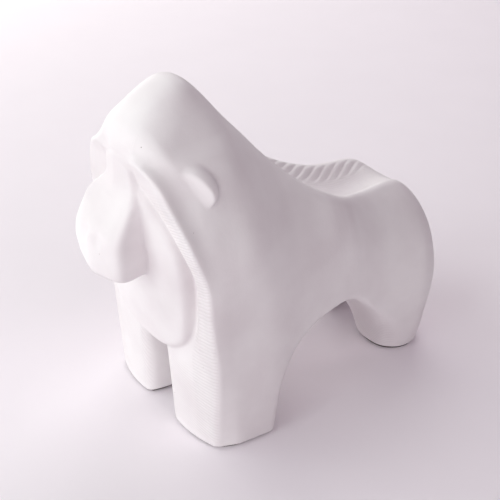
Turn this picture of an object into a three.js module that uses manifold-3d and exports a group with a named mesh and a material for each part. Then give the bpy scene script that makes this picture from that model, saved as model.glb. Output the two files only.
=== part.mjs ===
// Gorilla figurine in matt white ceramic, standing on all fours.
// Millimetres, +Z up. It faces -Y, so its left side is +X. The origin is under the
// middle of its length, on the surface that it stands on.
//
// The body is a hollow slip casting. The face, the beard and the ears are separate
// pressings seated on it, and a thin pad sits under each foot.
import * as THREE from 'three';
import { mergeVertices } from 'three/addons/utils/BufferGeometryUtils.js';
import Module from 'manifold-3d';

const wasm = await Module();
wasm.setup();

// Driving dimensions. Lengths along the body are measured back from the toes of the
// forelegs, heights from the surface below, and widths out from the middle plane.
const MIDDLE = 72; // from the toes back to the middle of the length
const CREST = 200.2; // height of the top of the head
const BROW = 172; // height of the brow, where the face begins
const CHIN = 104; // height of the underside of the muzzle
const BACK = 108; // height of the back at the haunches
const BELLY = 57; // height of the belly over the forelegs
const SHOULDER = 57; // half width at the shoulders
const WAIST = 50; // half width between the legs
const HAUNCH = 51; // half width at the haunches
const TOES = 49; // half width across the toes of the forelegs
const RUMP = 182.5; // from the toes back to the rump
const MUZZLE = 38.8; // reach of the muzzle in front of the toes
const MUZZLE_HALF = 24.2; // half width of the muzzle
const FACE_HALF = 11.8; // half width of the face under the brow
const BEARD_HALF = 37.5; // half width of the beard
const BEARD_DROP = 3.5; // how far the beard hangs below the belly
const BEARD_END = BELLY - BEARD_DROP; // height of the beard's lower end
const BEARD_PROUD = 5.6; // how far the beard's rim stands off the strip beside it
const BEARD_SEAT = 2; // depth of the hollow in the chest that the beard sits in
const GROOVE = 2.5; // depth of the groove along the beard
const STRIP = 9; // width of the flat strip between the groove and the edge of the chest
const HOLLOW = 1.3; // depth of the hollow of the neck behind the strip
const SWELL = 2.4; // how far the muscle of the shoulder stands out
const GUTTER = 12; // depth of the hollow along the back
const FRONT_GAP = 7.5; // half width of the gap between the forelegs, at its narrowest
const REAR_GAP = 8.5; // half width of the gap between the hind legs
const HEEL = 154; // from the toes back to the middle of the hind feet
const HEEL_OUT = 28.3; // from the middle plane out to the middle of a hind foot
const HEEL_RADIUS = 20.3; // radius of a hind foot
const FORELEG_DEPTH = 37; // from the toes to the back of a foreleg, at the foot
const EAR_BACK = 3.2; // from the toes back to the middle of an ear
const EAR_UP = 156.6; // height of the middle of an ear
const EAR_LEAN = 27; // degrees that an ear leans back from upright as it goes down
const EAR_TALL = 9.8; // half the length of an ear
const EAR_DEEP = 6.9; // half the width of an ear
const EAR_PROUD = 4.8; // how far an ear stands off the side of the head
const EAR_FLAT = 3.1; // from the middle of an ear's foot out to its sloping flat front
const EYE_RADIUS = 2.2; // radius of the dimple over each eye
const EYE_OUT = 10; // from the middle plane out to the dimple over an eye
const NOSTRIL_RADIUS = 2.2; // radius of a nostril
const NOSTRIL_OUT = 6; // from the middle plane out to a nostril
const WALL = 5; // thickness of the cast wall
const VENT_RADIUS = 6; // radius of the hole that drains the casting, under the belly
const PAD_THICK = 1; // thickness of a foot pad
const PAD_INSET = 1.4; // how far a pad stays inside its foot
const PAD_CORNERS = 40; // points round a pad's outline
const SEAT_GAP = 0.3; // clearance between two pieces that touch
const SOLE = PAD_THICK + SEAT_GAP; // height of the underside of the feet

// Sizes of the facets of each skin.
const BODY_CELL = 6.2;
const CAVITY_CELL = 9;
const RELIEF_CELL = 3.4;

// Smooth joins: the larger or smaller of two fields, with a fillet of about size k.
function smoothMax(a, b, k) {
  const h = Math.max(k - Math.abs(a - b), 0) / k;
  return Math.max(a, b) + h * h * k * 0.25;
}

function smoothMin(a, b, k) {
  return -smoothMax(-a, -b, k);
}

function clamp(v, low, high) {
  return Math.min(Math.max(v, low), high);
}

function ease(low, high, v) {
  const t = clamp((v - low) / (high - low), 0, 1);
  return t * t * (3 - 2 * t);
}

// A smooth curve through [position, value] points, level beyond its two ends. Its slope
// at a point is the harmonic mean of the slopes beside it, so it never overshoots.
function curve(points) {
  const slopes = points.slice(1).map(([x, y], i) => (y - points[i][1]) / (x - points[i][0]));
  const tangents = points.map((_, i) => {
    const before = slopes[Math.max(i - 1, 0)];
    const after = slopes[Math.min(i, slopes.length - 1)];
    return before * after > 0 ? (2 * before * after) / (before + after) : 0;
  });
  return (at) => {
    const x = clamp(at, points[0][0], points[points.length - 1][0]);
    let i = 0;
    while (i < points.length - 2 && x > points[i + 1][0]) i += 1;
    const [x0, y0] = points[i];
    const [x1, y1] = points[i + 1];
    const h = x1 - x0;
    const s = (x - x0) / h;
    return (
      y0 * (1 + 2 * s) * (1 - s) ** 2 +
      tangents[i] * h * s * (1 - s) ** 2 +
      y1 * s * s * (3 - 2 * s) +
      tangents[i + 1] * h * s * s * (s - 1)
    );
  };
}

// Curves along the body. The first value of each point is the distance behind the toes.
const spineHeight = curve([
  [5, CREST + 4.6], [9.4, CREST + 4.4], [13.8, CREST + 3], [19.4, CREST - 0.8], [25, CREST - 6.6],
  [36.6, CREST - 21], [48.9, CREST - 35.9], [62, BACK + 40.2], [78, BACK + 25.6],
  [94.7, BACK + 16], [112, BACK + 7.4], [131, BACK + 2.4], [146, BACK + 1.6],
  [158, BACK + 1.2], [RUMP - 14.5, BACK - 1.5], [RUMP - 5.5, BACK - 8], [RUMP + 7.5, BACK - 24],
]);
const ridgeHalf = curve([
  [20, 6], [36, 7.5], [55, 14], [74, 27], [90, 34], [98, 34], [108, 29.4], [118, 24.4],
  [131, 20.4], [146, 18.2], [160, 17.2], [175, 14],
]);
const gutterDepth = curve([
  [60, 0], [78, GUTTER - 7], [95, GUTTER - 2], [110, GUTTER], [130, GUTTER],
  [145, GUTTER - 1], [158, GUTTER - 5], [171, 0],
]);
const planHalf = curve([
  [10, SHOULDER - 1], [32, SHOULDER + 0.2], [60, SHOULDER - 3], [95, WAIST + 0.2],
  [115, WAIST - 0.4], [140, HAUNCH - 0.2], [155, HAUNCH + 0.4], [175, HAUNCH - 1], [200, HAUNCH - 5],
]);
const flankFall = curve([[15, 38], [45, 33], [80, 25], [110, 21]]);

// Curves up the body. The first value of each point is the height.
const edgeFront = curve([
  [0, -0.2], [20, -1], [60, -2.4], [95, -2.3], [105, -2.7], [112, -4], [120, -6.4],
  [BROW - 44, -9], [BROW - 36, -11.1], [BROW - 28, -13.1], [BROW - 20, -15], [BROW - 12, -16.8],
  [BROW - 4, -19.8], [BROW + 4, -22], [BROW + 28, -32],
]);
const edgeHalf = curve([
  [0, TOES + 0.2], [20, TOES + 1.3], [40, TOES + 2.8], [60, TOES + 3.6], [83, TOES + 3.6],
  [100, TOES + 2.5], [115, TOES + 1.5], [BROW - 44, TOES - 0.2], [BROW - 36, 46.4],
  [BROW - 28, 42.4], [BROW - 20, 37.8], [BROW - 12, 32.4], [BROW - 6, 26.4], [BROW - 3.5, 23.2],
  [BROW + 3, 19.8], [BROW + 13, 16], [BROW + 30, 8],
]);
const cheekHalf = curve([
  [100, TOES + 2.5], [115, TOES + 1.7], [BROW - 44, TOES], [BROW - 36, SHOULDER - 10.6],
  [BROW - 28, SHOULDER - 14.2], [BROW - 20, SHOULDER - 18.8], [BROW - 12, SHOULDER - 24],
  [BROW - 4, SHOULDER - 30], [BROW + 4, 21.5], [BROW + 13, 16.6], [BROW + 30, 8.6],
]);
const flare = curve([
  [60, 0.25], [95, 0.23], [115, 0.13], [135, 0.1], [BROW - 22, 0.14], [BROW - 12, 0.22],
  [BROW - 4, 0.22], [BROW + 4, 0.08], [BROW + 14, 0.04],
]);
const rumpBack = curve([
  [0, RUMP - 9.5], [20, RUMP - 6.7], [40, RUMP - 2.5], [56, RUMP], [BACK - 33, RUMP - 0.3],
  [BACK - 18, RUMP - 3], [BACK - 5, RUMP - 9], [BACK + 12, RUMP - 26.5],
]);
const beardHalf = curve([
  [60, BEARD_HALF - 1], [74, BEARD_HALF], [110, BEARD_HALF], [120, BEARD_HALF - 0.8],
  [128, BEARD_HALF - 3], [136, BEARD_HALF - 7], [144, BEARD_HALF - 12.5], [150, BEARD_HALF - 18],
  [156, BEARD_HALF - 25],
]);
const beardProud = curve([
  [60, 0.2 - BEARD_PROUD], [80, -BEARD_PROUD], [100, 0.6 - BEARD_PROUD], [112, 1.6 - BEARD_PROUD],
  [122, -3], [134, -2], [148, -1.2], [158, 0.5],
]);
const beardBulge = curve([
  [55, 0.6], [70, 2.4], [85, 4.8], [96, 7], [104, 8.8], [112, 9.6], [122, 9], [134, 8],
  [141, 8.8], [146, 8.4], [151, 4.5], [158, 0.5],
]);
const grooveDepth = curve([
  [60, GROOVE], [105, GROOVE], [120, GROOVE - 0.7], [140, GROOVE - 1.5], [156, GROOVE - 2.2],
]);
const stripInner = curve([
  [60, TOES + 2 - STRIP], [80, TOES + 2.7 - STRIP], [104, TOES + 2.7 - STRIP], [114, TOES + 1 - STRIP],
  [122, 38.6], [132, 35.6], [139, 32.4], [146, 28], [153, 22], [160, 14],
]);
const faceHalf = curve([
  [CHIN - 1, MUZZLE_HALF - 3.2], [CHIN + 8, MUZZLE_HALF - 1.4], [CHIN + 16, MUZZLE_HALF - 0.4],
  [CHIN + 23, MUZZLE_HALF - 1.2], [CHIN + 29, MUZZLE_HALF - 1.8], [CHIN + 34, MUZZLE_HALF - 2.8],
  [CHIN + 39, MUZZLE_HALF - 3.7], [CHIN + 42, 18.6], [CHIN + 45, 14.4], [CHIN + 48, FACE_HALF + 0.3],
  [CHIN + 54, FACE_HALF - 0.6], [BROW - 10, FACE_HALF], [BROW + 3, FACE_HALF],
]);
const faceRim = curve([
  [CHIN - 1, 6.8 - MUZZLE], [CHIN + 9, 4.9 - MUZZLE], [CHIN + 16, 4.2 - MUZZLE],
  [CHIN + 23, 4.6 - MUZZLE], [CHIN + 29, 6.6 - MUZZLE], [CHIN + 34, 9 - MUZZLE],
  [CHIN + 39.2, -26.8], [CHIN + 42.4, -24], [CHIN + 45, -21.4], [CHIN + 48, -19.4],
  [CHIN + 52, -18.7], [BROW - 8, -19], [BROW, -20.5],
]);
const faceKeel = curve([
  [CHIN - 4, 0.8 - MUZZLE], [CHIN + 4, -MUZZLE], [CHIN + 15, -MUZZLE], [CHIN + 21, 0.2 - MUZZLE],
  [CHIN + 26, 1.4 - MUZZLE], [CHIN + 30, -34.6], [CHIN + 34, -31], [CHIN + 38, -27.6],
  [CHIN + 43, -24], [CHIN + 48, -22], [CHIN + 54, -21.2], [BROW - 8, -21], [BROW, -21.5],
]);

// Half width of the trunk and the head: a front that flares back from the edge beside
// the face, joined to flanks that fall away from the spine or from the back's ridges.
function halfWidth(y, z) {
  const ridge = ridgeHalf(y);
  const drop = spineHeight(y) - z;
  const foot = 3.5 * ease(50, 110, y) * clamp((45 - z) / 45, 0, 1);
  const fall = 1.04 * (1 - Math.exp(-Math.max(drop, -8) / flankFall(y)));
  const back = ridge + (planHalf(y) - foot - ridge) * fall;
  const behind = Math.max(y - edgeFront(z), -6);
  const away = (behind / 9) ** 2;
  const hollow = HOLLOW * ease(100, 135, z) * ease(-BROW - 4, 6 - BROW, -z);
  const cheek = THREE.MathUtils.lerp(edgeHalf(z), cheekHalf(z), ease(1, 15, behind));
  const front = cheek + flare(z) * behind - hollow * away * Math.exp(1 - away);
  const swell = SWELL * Math.exp(-(((y - 24) / 13) ** 2) - ((z - BROW + 50) / 22) ** 2);
  return smoothMin(front, back, 2 + 6 * ease(2, 30, behind)) + swell;
}

// The front of the forelegs, and above them the chest: the beard's seat in the middle,
// then the groove along the beard, and the flat strip out to the edge.
function frontFace(across, z) {
  const leg = edgeFront(z) - 3.4 + 0.0075 * (across - 24) ** 2;
  const inner = beardHalf(z);
  const rise = ease(0, 1, (across - inner) / Math.max(stripInner(z) - inner, 1));
  const seat = BEARD_SEAT * (1 - Math.min(across / inner, 1) ** 4) * ease(-158, -146, -z);
  const chest = edgeFront(z) + grooveDepth(z) * (1 - rise) + seat;
  return THREE.MathUtils.lerp(leg, chest, ease(52, 92, z));
}

// The space under the belly, from the back of the forelegs to the front of the hind legs.
function archField(y, z) {
  const foreleg = FORELEG_DEPTH + 0.16 * z - y;
  const belly = z - BELLY - 0.09 * (y - 60);
  const thigh = 0.845 * (y - HEEL + 46) + 0.534 * (z - BELLY + 3.4);
  const hindFoot = y - (HEEL - HEEL_RADIUS - 0.2);
  return smoothMax(smoothMax(smoothMax(foreleg, belly, 34), thigh, 14), hindFoot, 10);
}

function dimple(x, y, z, [cx, cy, cz], [sx, sy, sz], radius) {
  return Math.hypot((x - cx) / sx, (y - cy) / sy, (z - cz) / sz) - radius;
}

function eyeField(x, y, z) {
  return dimple(Math.abs(x), y, z, [EYE_OUT, -21.5, BROW - 1.8], [1.8, 1.2, 0.9], EYE_RADIUS);
}

// Each field is negative inside its solid, positive outside it, and nearly a distance.
function bodyField(x, y, z) {
  const across = Math.abs(x);
  const half = halfWidth(y, z);
  const flank = 0.8 * smoothMax(x - half, -x - half, 24);
  const inRidge = clamp(across / ridgeHalf(y), 0, 1.3);
  const roof = 0.66 * (z - spineHeight(y) + gutterDepth(y) * (1 - inRidge ** 2));
  let field = smoothMax(flank, roof, 7);
  const forehead = (z - CREST + 1.8 - y) * Math.SQRT1_2;
  field = smoothMax(field, forehead, 13);
  const turn = 4 + 5 * ease(BROW - 5, BROW + 2, z);
  field = smoothMax(field, 0.9 * (frontFace(across, z) - y), turn);
  field = smoothMax(field, 0.95 * (y - rumpBack(z)), 24);
  field = smoothMax(field, SOLE - z, 1.2);
  if (y > 100) {
    const legRadius = HEEL_RADIUS + 0.36 * z + (Math.max(z, 0) / 26) ** 4;
    field = smoothMax(field, Math.hypot(across - HEEL_OUT, y - HEEL) - legRadius, 6);
  }
  field = smoothMax(field, -archField(y, z), 4.5);
  const narrowing = 1 - 0.16 * clamp(z / 55, 0, 1);
  const frontGap = (FRONT_GAP + 5.3 * Math.exp(-Math.max(y + 4, 0) / 10)) * narrowing;
  const betweenFront = smoothMax(smoothMax(across - frontGap, y - 60, 3), z - BELLY - 3, 16);
  field = smoothMax(field, -betweenFront, 4.5);
  const betweenRear = smoothMax(smoothMax(across - REAR_GAP, 110 - y, 3), z - BELLY + 13, 14);
  field = smoothMax(field, -betweenRear, 14);
  return smoothMax(field, -eyeField(x, y, z), 3);
}

function cavityField(x, y, z) {
  return bodyField(x, y, z) + WALL;
}

function beardField(x, y, z) {
  const across = Math.abs(x);
  const half = beardHalf(z);
  const rim = edgeFront(z) + beardProud(z);
  const front = rim - beardBulge(z) * (1 - clamp(across / half, 0, 1.2) ** 2.5);
  let field = smoothMax(0.95 * (front - y), 0.93 * (across - half), 3);
  const tall = 28;
  const below = clamp(BEARD_END + tall - z, 0, 2 * tall) / tall;
  const round = ((across / (BEARD_HALF + 0.5)) ** 2.1 + below ** 2.1) ** (1 / 2.1);
  field = smoothMax(field, (round - 1) * (tall - 1), 4);
  field = smoothMax(field, y - 12, 3);
  return smoothMax(field, 0.8 * (z - BROW + 20), 3);
}

function faceField(x, y, z) {
  const across = Math.abs(x);
  const turn = clamp(across / faceHalf(z), 0, 1.5) ** 1.2;
  const front = THREE.MathUtils.lerp(faceKeel(z), faceRim(z), turn);
  const side = across - faceHalf(z) + 0.27 * ease(-148, -128, -z) * (y - faceRim(z));
  let field = smoothMax(0.9 * (front - y), 0.95 * side, 2.5 + 3.5 * ease(-150, -128, -z));
  const chin = CHIN + 0.004 * across ** 2 - 0.08 * (y + 34) - z;
  field = smoothMax(field, 0.95 * chin, 6);
  const top = z - BROW + 4.2 + 0.03 * across ** 2;
  field = smoothMax(field, 0.9 * top, 2.5);
  field = smoothMax(field, y + 2, 3);
  field = smoothMax(field, -eyeField(x, y, z), 3);
  const at = [NOSTRIL_OUT, 0.6 - MUZZLE, CHIN + 24.5];
  return smoothMax(field, -dimple(across, y, z, at, [1.1, 1, 1.7], NOSTRIL_RADIUS), 3);
}

const scratch = new THREE.Vector3();

function slope(field, p) {
  const e = 0.15;
  scratch.set(
    field(p.x + e, p.y, p.z) - field(p.x - e, p.y, p.z),
    field(p.x, p.y + e, p.z) - field(p.x, p.y - e, p.z),
    field(p.x, p.y, p.z + e) - field(p.x, p.y, p.z - e),
  );
  return scratch.divideScalar(2 * e);
}

// Moves a point along the field's slope onto its surface.
function settle(field, p, reach) {
  for (let i = 0; i < 6; i += 1) {
    const g = slope(field, p);
    const step = clamp(-field(p.x, p.y, p.z) / Math.max(g.lengthSq(), 0.05), -reach, reach);
    p.addScaledVector(g, step);
  }
}

// The point where a set of planes nearly meet, kept near the middle of their places: on
// a smooth face it lies in the face, and on an edge of the shape it lies on the edge.
function meeting(places, normals) {
  const middle = new THREE.Vector3();
  places.forEach((p) => middle.add(p));
  middle.divideScalar(places.length);
  const pull = 0.06 * places.length;
  let [xx, xy, xz, yy, yz, zz] = [pull, 0, 0, pull, 0, pull];
  const right = new THREE.Vector3();
  places.forEach((p, n) => {
    const m = normals[n];
    right.addScaledVector(m, m.dot(p) - m.dot(middle));
    xx += m.x * m.x;
    xy += m.x * m.y;
    xz += m.x * m.z;
    yy += m.y * m.y;
    yz += m.y * m.z;
    zz += m.z * m.z;
  });
  const matrix = new THREE.Matrix3().set(xx, xy, xz, xy, yy, yz, xz, yz, zz);
  return right.applyMatrix3(matrix.invert()).add(middle);
}

// Faceted skin of a field: one vertex in each cell that the surface passes through and
// one quad across each cell edge that it cuts. The vertices then move to where the planes
// of the quads round them meet, which evens them out and keeps the shape's edges.
function skin(field, box, cell) {
  const size = box.getSize(new THREE.Vector3()).divideScalar(cell).ceil();
  const [nx, ny, nz] = [size.x + 1, size.y + 1, size.z + 1];
  const start = box.getCenter(new THREE.Vector3()).addScaledVector(size, -cell / 2);
  const node = (i, j, k) => (k * ny + j) * nx + i;
  const values = new Float64Array(nx * ny * nz);
  for (let k = 0; k < nz; k += 1) {
    for (let j = 0; j < ny; j += 1) {
      for (let i = 0; i < nx; i += 1) {
        values[node(i, j, k)] = field(start.x + i * cell, start.y + j * cell, start.z + k * cell);
      }
    }
  }

  // A grid face whose corners alternate between inside and outside would make the skin
  // touch itself, so the corner that is nearest to the surface changes sides.
  const axes = [[1, 0, 0], [0, 1, 0], [0, 0, 1]];
  const ringAt = (i, j, k, a) => [[0, 0], [1, 0], [1, 1], [0, 1]].map(([s, t]) => {
    const u = axes[(a + 1) % 3];
    const v = axes[(a + 2) % 3];
    return node(i + s * u[0] + t * v[0], j + s * u[1] + t * v[1], k + s * u[2] + t * v[2]);
  });
  const nearer = (m, n) => (Math.abs(values[n]) < Math.abs(values[m]) ? n : m);
  for (let round = 0; round < 3; round += 1) {
    for (let k = 0; k < nz - 1; k += 1) {
      for (let j = 0; j < ny - 1; j += 1) {
        for (let i = 0; i < nx - 1; i += 1) {
          for (let a = 0; a < 3; a += 1) {
            const ring = ringAt(i, j, k, a);
            const [p, q, r, s] = ring.map((n) => values[n] < 0);
            if (p !== r || q !== s || p === q) continue;
            const least = ring.reduce(nearer);
            values[least] = -values[least];
          }
        }
      }
    }
  }

  const points = [];
  const owner = new Int32Array(values.length).fill(-1);
  const corners = [0, 1, 2, 3, 4, 5, 6, 7].map((n) => [n & 1, (n >> 1) & 1, n >> 2]);
  for (let k = 0; k < nz - 1; k += 1) {
    for (let j = 0; j < ny - 1; j += 1) {
      for (let i = 0; i < nx - 1; i += 1) {
        const inside = corners.filter(([a, b, c]) => values[node(i + a, j + b, k + c)] < 0).length;
        if (inside === 0 || inside === 8) continue;
        const p = new THREE.Vector3(i + 0.5, j + 0.5, k + 0.5).multiplyScalar(cell).add(start);
        settle(field, p, cell / 3);
        owner[node(i, j, k)] = points.push(p) - 1;
      }
    }
  }

  const quads = [];
  for (let k = 1; k < nz - 1; k += 1) {
    for (let j = 1; j < ny - 1; j += 1) {
      for (let i = 1; i < nx - 1; i += 1) {
        const here = values[node(i, j, k)] < 0;
        for (let a = 0; a < 3; a += 1) {
          const there = values[node(i + axes[a][0], j + axes[a][1], k + axes[a][2])] < 0;
          if (here === there) continue;
          const u = axes[(a + 1) % 3];
          const v = axes[(a + 2) % 3];
          const ring = ringAt(i - u[0] - v[0], j - u[1] - v[1], k - u[2] - v[2], a);
          const quad = ring.map((n) => owner[n]);
          quads.push(here ? quad : quad.reverse());
        }
      }
    }
  }

  const around = points.map(() => []);
  quads.forEach((quad, q) => quad.forEach((n) => around[n].push(q)));
  for (let round = 0; round < 4; round += 1) {
    const places = quads.map((quad) => {
      const p = new THREE.Vector3();
      quad.forEach((n) => p.add(points[n]));
      p.divideScalar(4);
      settle(field, p, cell / 3);
      return p;
    });
    const normals = places.map((p) => slope(field, p).clone().normalize());
    points.forEach((p, n) => {
      p.copy(meeting(around[n].map((q) => places[q]), around[n].map((q) => normals[q])));
    });
  }

  const index = [];
  for (const [a, b, c, d] of quads) {
    const short = points[a].distanceTo(points[c]) < points[b].distanceTo(points[d]);
    index.push(...(short ? [a, b, c, a, c, d] : [a, b, d, b, c, d]));
  }
  const geometry = new THREE.BufferGeometry().setFromPoints(points);
  geometry.setIndex(index);
  return geometry;
}

// The same skin moved outwards, so that what is cut by it keeps a clearance.
function grown(geometry, field, distance) {
  const wide = geometry.clone();
  const position = wide.attributes.position;
  for (let n = 0; n < position.count; n += 1) {
    const p = new THREE.Vector3().fromBufferAttribute(position, n);
    p.addScaledVector(slope(field, p).normalize(), distance);
    position.setXYZ(n, p.x, p.y, p.z);
  }
  return wide;
}

// Conversion between a geometry and a solid that can be joined and cut.
function solidOf(geometry) {
  const bare = geometry.clone();
  bare.deleteAttribute('normal');
  bare.deleteAttribute('uv');
  const merged = mergeVertices(bare, 1e-4);
  return new wasm.Manifold(new wasm.Mesh({
    numProp: 3,
    vertProperties: new Float32Array(merged.attributes.position.array),
    triVerts: new Uint32Array(merged.index.array),
  }));
}

function geometryOf(solid) {
  const mesh = solid.getMesh();
  const geometry = new THREE.BufferGeometry();
  geometry.setAttribute('position', new THREE.BufferAttribute(mesh.vertProperties, 3));
  geometry.setIndex(new THREE.BufferAttribute(mesh.triVerts, 1));
  return geometry;
}

function boxOf(low, high) {
  return new THREE.Box3(new THREE.Vector3(...low), new THREE.Vector3(...high));
}

// Body: the outer skin, less the cavity that the drained slip leaves and its vent.
const widest = SHOULDER + 8;
const bodyBox = boxOf([-widest, -32, -6], [widest, RUMP + 8, CREST + 8]);
const bodySkin = skin(bodyField, bodyBox, BODY_CELL);
const cavity = skin(cavityField, bodyBox, CAVITY_CELL);
const vent = new THREE.CylinderGeometry(VENT_RADIUS, VENT_RADIUS, 30, 24);
vent.rotateX(Math.PI / 2);
vent.translate(0, 88, BELLY + 5);
const bodySolid = solidOf(bodySkin).subtract(solidOf(cavity)).subtract(solidOf(vent));

// Beard, face and ears: each is cut to its seat with the clearance of touching pieces.
const bodyClear = solidOf(grown(bodySkin, bodyField, SEAT_GAP));
const beardBox = boxOf([-BEARD_HALF - 6, -34, BEARD_END - 8], [BEARD_HALF + 6, 20, BROW + 8]);
const beardSkin = skin(beardField, beardBox, RELIEF_CELL);
const beardSolid = solidOf(beardSkin).subtract(bodyClear);

const faceBox = boxOf([-MUZZLE_HALF - 8, -MUZZLE - 6, CHIN - 8], [MUZZLE_HALF + 8, 6, BROW + 8]);
const faceSolid = solidOf(skin(faceField, faceBox, RELIEF_CELL))
  .subtract(bodyClear)
  .subtract(solidOf(grown(beardSkin, beardField, SEAT_GAP)));

// An ear is a dome on the side of the head, with a flat cut down its front. It is made on
// a level plane, with its foot at x = 0, and then every point moves out by the half width
// of the head there, so that the foot follows the head.
function earSolid(side) {
  const dome = new THREE.SphereGeometry(1, 28, 20);
  dome.scale(EAR_PROUD, EAR_DEEP, EAR_TALL);
  const cut = [Math.SQRT1_2, -Math.SQRT1_2, 0];
  const lug = geometryOf(solidOf(dome).trimByPlane(cut.map((v) => -v), -EAR_FLAT));
  lug.rotateX(THREE.MathUtils.degToRad(EAR_LEAN));
  lug.translate(0, EAR_BACK, EAR_UP);
  const position = lug.attributes.position;
  for (let n = 0; n < position.count; n += 1) {
    const out = position.getX(n) + halfWidth(position.getY(n), position.getZ(n));
    position.setX(n, side * out);
  }
  if (side < 0) lug.index.array.reverse();
  return solidOf(lug).subtract(bodyClear);
}

// A foot pad follows the outline of the sole over it, drawn in by the inset. Its centre
// is a point inside the sole, from which rays find the edge.
function padGeometry(x, y) {
  const edge = (angle) => {
    const [dx, dy] = [Math.cos(angle), Math.sin(angle)];
    let reach = 4;
    while (bodyField(x + dx * reach, y + dy * reach, SOLE + 2) < -PAD_INSET) reach += 0.1;
    return new THREE.Vector2(x + dx * reach, y + dy * reach);
  };
  const turns = Array.from({ length: PAD_CORNERS }, (_, n) => (n / PAD_CORNERS) * Math.PI * 2);
  const outline = new THREE.Shape(turns.map(edge));
  return new THREE.ExtrudeGeometry(outline, { depth: PAD_THICK, bevelEnabled: false });
}

const ceramic = new THREE.MeshStandardMaterial({ color: 0xf0eeef, roughness: 0.62, metalness: 0 });
const felt = new THREE.MeshStandardMaterial({ color: 0x47413f, roughness: 0.95, metalness: 0 });

const figurine = new THREE.Group();
figurine.position.y = -MIDDLE;

function addPiece(name, geometry, material) {
  const mesh = new THREE.Mesh(geometry, material);
  mesh.name = name;
  figurine.add(mesh);
}

addPiece('body_shell', geometryOf(bodySolid), ceramic);
addPiece('face_mask', geometryOf(faceSolid), ceramic);
addPiece('beard_panel', geometryOf(beardSolid), ceramic);
for (const [side, name] of [[1, 'left'], [-1, 'right']]) {
  addPiece(`ear_${name}`, geometryOf(earSolid(side)), ceramic);
  addPiece(`foot_pad_front_${name}`, padGeometry(side * TOES * 0.66, FORELEG_DEPTH / 2), felt);
  addPiece(`foot_pad_rear_${name}`, padGeometry(side * HEEL_OUT, HEEL), felt);
}

export default figurine;
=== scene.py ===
"""Looks of a gorilla figurine: matt white slip-cast ceramic that stands on thin felt pads.

Shapes are worked out in millimetres and handed to Blender in metres. As in the part,
distances along the body are measured back from the toes of the forelegs, heights from
the surface that the figurine stands on, and widths out from the middle plane.
"""

from __future__ import annotations

import logging
import math
from collections.abc import Callable
from dataclasses import dataclass, field
from enum import Enum

import bmesh
import bpy
import numpy as np
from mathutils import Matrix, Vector

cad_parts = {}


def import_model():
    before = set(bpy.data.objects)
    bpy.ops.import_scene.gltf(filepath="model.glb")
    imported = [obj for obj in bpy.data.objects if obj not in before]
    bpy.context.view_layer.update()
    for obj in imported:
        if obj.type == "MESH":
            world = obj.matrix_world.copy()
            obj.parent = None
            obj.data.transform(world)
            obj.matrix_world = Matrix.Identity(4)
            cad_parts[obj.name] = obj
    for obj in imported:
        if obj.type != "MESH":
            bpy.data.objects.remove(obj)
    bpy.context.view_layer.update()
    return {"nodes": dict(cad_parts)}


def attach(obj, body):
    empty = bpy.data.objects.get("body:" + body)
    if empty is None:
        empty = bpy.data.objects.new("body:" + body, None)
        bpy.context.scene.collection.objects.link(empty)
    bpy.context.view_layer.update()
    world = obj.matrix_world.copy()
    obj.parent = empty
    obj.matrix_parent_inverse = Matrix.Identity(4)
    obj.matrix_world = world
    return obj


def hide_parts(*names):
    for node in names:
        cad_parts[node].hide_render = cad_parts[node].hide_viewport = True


log = logging.getLogger("figurine")

MM = 0.001
MIDDLE = 72.0  # from the toes back to the middle of the length, where the frame's origin is
SOLE = 1.3  # height of the underside of the feet
BODY = "root"
COUNT = "flute_count"  # a piece's attribute: the number of flutes from a start up to a point
DEEP = "flute_deep"  # a piece's attribute: how deep the flutes are there, from 0 to 1

Array = np.ndarray
Field = Callable[[Array, Array, Array], Array]


# Smooth joins of two fields, and curves through a few points.


def smooth_max(a: Array, b: Array, fillet: float) -> Array:
    """Return the larger of two fields, with a fillet of about that size where they meet."""
    share = np.maximum(fillet - np.abs(a - b), 0.0) / fillet
    return np.maximum(a, b) + share * share * fillet * 0.25


def smooth_min(a: Array, b: Array, fillet: float) -> Array:
    """Return the smaller of two fields, with a fillet of about that size where they meet."""
    return -smooth_max(-a, -b, fillet)


def ease(low: float, high: float, value: Array) -> Array:
    """Return 0 below low, 1 above high and a smooth step between them."""
    t = np.clip((value - low) / (high - low), 0.0, 1.0)
    return t * t * (3.0 - 2.0 * t)


def between(a: Array, b: Array, share: Array) -> Array:
    """Return the value that lies that share of the way from a to b."""
    return a + (b - a) * share


class Curve:
    """A smooth curve through (place, value) points, level beyond its two ends."""

    def __init__(self, *points: tuple[float, float]) -> None:
        """Keep the points and work out the slope at each.

        Args:
            *points: Places in rising order, each with the curve's value there.
        """
        self.places, self.values = np.array(points, float).T
        rise = np.diff(self.values) / np.diff(self.places)
        total = rise[:-1] + rise[1:]
        inner = 2 * rise[:-1] * rise[1:] / np.where(total == 0, 1, total)
        inner = np.where(rise[:-1] * rise[1:] > 0, inner, 0)
        self.slopes = np.concatenate([rise[:1], inner, rise[-1:]])

    def __call__(self, at: Array) -> Array:
        """Return the curve's value at each place."""
        x = np.clip(at, self.places[0], self.places[-1])
        i = np.clip(np.searchsorted(self.places, x) - 1, 0, len(self.places) - 2)
        span = self.places[i + 1] - self.places[i]
        s = (x - self.places[i]) / span
        return (
            self.values[i] * (1 + 2 * s) * (1 - s) ** 2
            + self.slopes[i] * span * s * (1 - s) ** 2
            + self.values[i + 1] * s * s * (3 - 2 * s)
            + self.slopes[i + 1] * span * s * s * (s - 1)
        )


# The figurine's forms. Each field is negative inside, positive outside and nearly a
# distance in millimetres: a factor under 1 before a sloping face's field keeps it so.


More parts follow.
